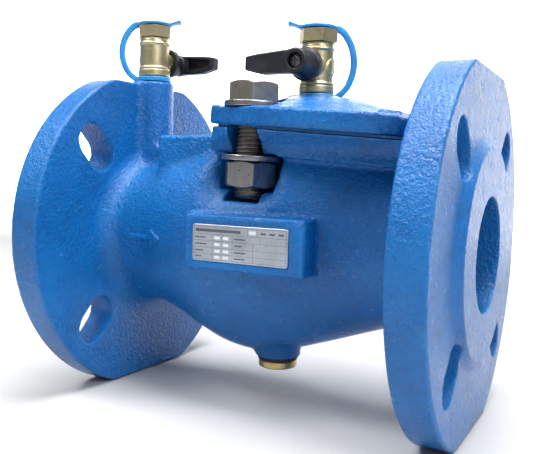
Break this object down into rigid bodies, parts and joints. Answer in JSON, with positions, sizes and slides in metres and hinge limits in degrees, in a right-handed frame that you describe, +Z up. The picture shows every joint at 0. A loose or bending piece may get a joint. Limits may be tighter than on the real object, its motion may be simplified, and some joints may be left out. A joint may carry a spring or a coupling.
{
  "type": "flanged swing check valve",
  "caption": "Cast check valve between two slotted pipe flanges, with a bolted sloping cover, an internal swing flap and small ball taps with capped ends.",
  "frame": {"origin": "centre of the footprint, on the plane of the flats at the bottom of both flanges", "axes": "+X along the flow, from the inlet flange to the outlet flange; +Z up through the cover; the name plate faces -Y"},
  "size_m": [0.221, 0.185, 0.21],
  "materials": {
    "blue_paint": "glossy blue enamel over cast iron",
    "brass": "turned brass, lightly dulled",
    "steel": "stainless steel",
    "zinc": "zinc plated steel",
    "black_plastic": "moulded black nylon",
    "sky_plastic": "moulded light blue polyethylene",
    "rubber": "EPDM",
    "ptfe": "PTFE",
    "bronze": "machined bronze",
    "fibre": "compressed fibre sheet",
    "plate": "satin aluminium"
  },
  "bodies": {
    "valve": {"valve_body": "blue_paint", "cover": "blue_paint", "cover_gasket": "fibre", "cover_bolt_front": "zinc", "bolt_washer_front": "zinc", "nut_washer_front": "zinc", "cover_nut_front": "zinc", "cover_bolt_rear": "zinc", "bolt_washer_rear": "zinc", "nut_washer_rear": "zinc", "cover_nut_rear": "zinc", "seat_ring": "bronze", "hinge_pin": "steel", "hinge_bracket": "steel", "bracket_screw_front": "steel", "bracket_screw_rear": "steel", "drain_plug": "brass", "drain_plug_seal": "fibre", "name_plate": "plate", "inlet_tap_body": "brass", "inlet_tap_end": "brass", "inlet_tap_seat_lower": "ptfe", "inlet_tap_seat_upper": "ptfe", "inlet_tap_gland": "brass", "inlet_cap_strap": "sky_plastic", "outlet_tap_body": "brass", "outlet_tap_end": "brass", "outlet_tap_seat_lower": "ptfe", "outlet_tap_seat_upper": "ptfe", "outlet_tap_gland": "brass", "outlet_cap_strap": "sky_plastic"},
    "flap": {"flap_disc": "steel", "disc_seal": "rubber", "seal_retainer": "steel", "hinge_arm": "steel", "arm_bush": "bronze", "disc_washer": "steel", "disc_nut": "steel"},
    "inlet_lever": {"inlet_tap_lever": "black_plastic", "inlet_tap_screw": "zinc", "inlet_tap_stem": "brass", "inlet_tap_ball": "steel"},
    "outlet_lever": {"outlet_tap_lever": "black_plastic", "outlet_tap_screw": "zinc", "outlet_tap_stem": "brass", "outlet_tap_ball": "steel"},
    "inlet_cap": {"inlet_dust_cap": "sky_plastic"},
    "outlet_cap": {"outlet_dust_cap": "sky_plastic"}
  },
  "joints": [
    {"name": "flap_swing", "type": "hinge", "parent": "valve", "child": "flap", "pos_m": [-0.05058, 0, 0.12812], "axis": [0, -1, 0], "range_deg": [0, 45]},
    {"name": "inlet_lever_turn", "type": "hinge", "parent": "valve", "child": "inlet_lever", "pos_m": [-0.0888, 0, 0.18812], "axis": [0, -1, 0], "range_deg": [0, 90]},
    {"name": "outlet_lever_turn", "type": "hinge", "parent": "valve", "child": "outlet_lever", "pos_m": [0.018, 0, 0.17792], "axis": [0, 1, 0], "range_deg": [0, 90]},
    {"name": "inlet_cap_lift", "type": "slide", "parent": "valve", "child": "inlet_cap", "axis": [0, 0, 1], "range_m": [0, 0.01]},
    {"name": "outlet_cap_lift", "type": "slide", "parent": "valve", "child": "outlet_cap", "axis": [0, 0, 1], "range_m": [0, 0.01]}
  ]
}
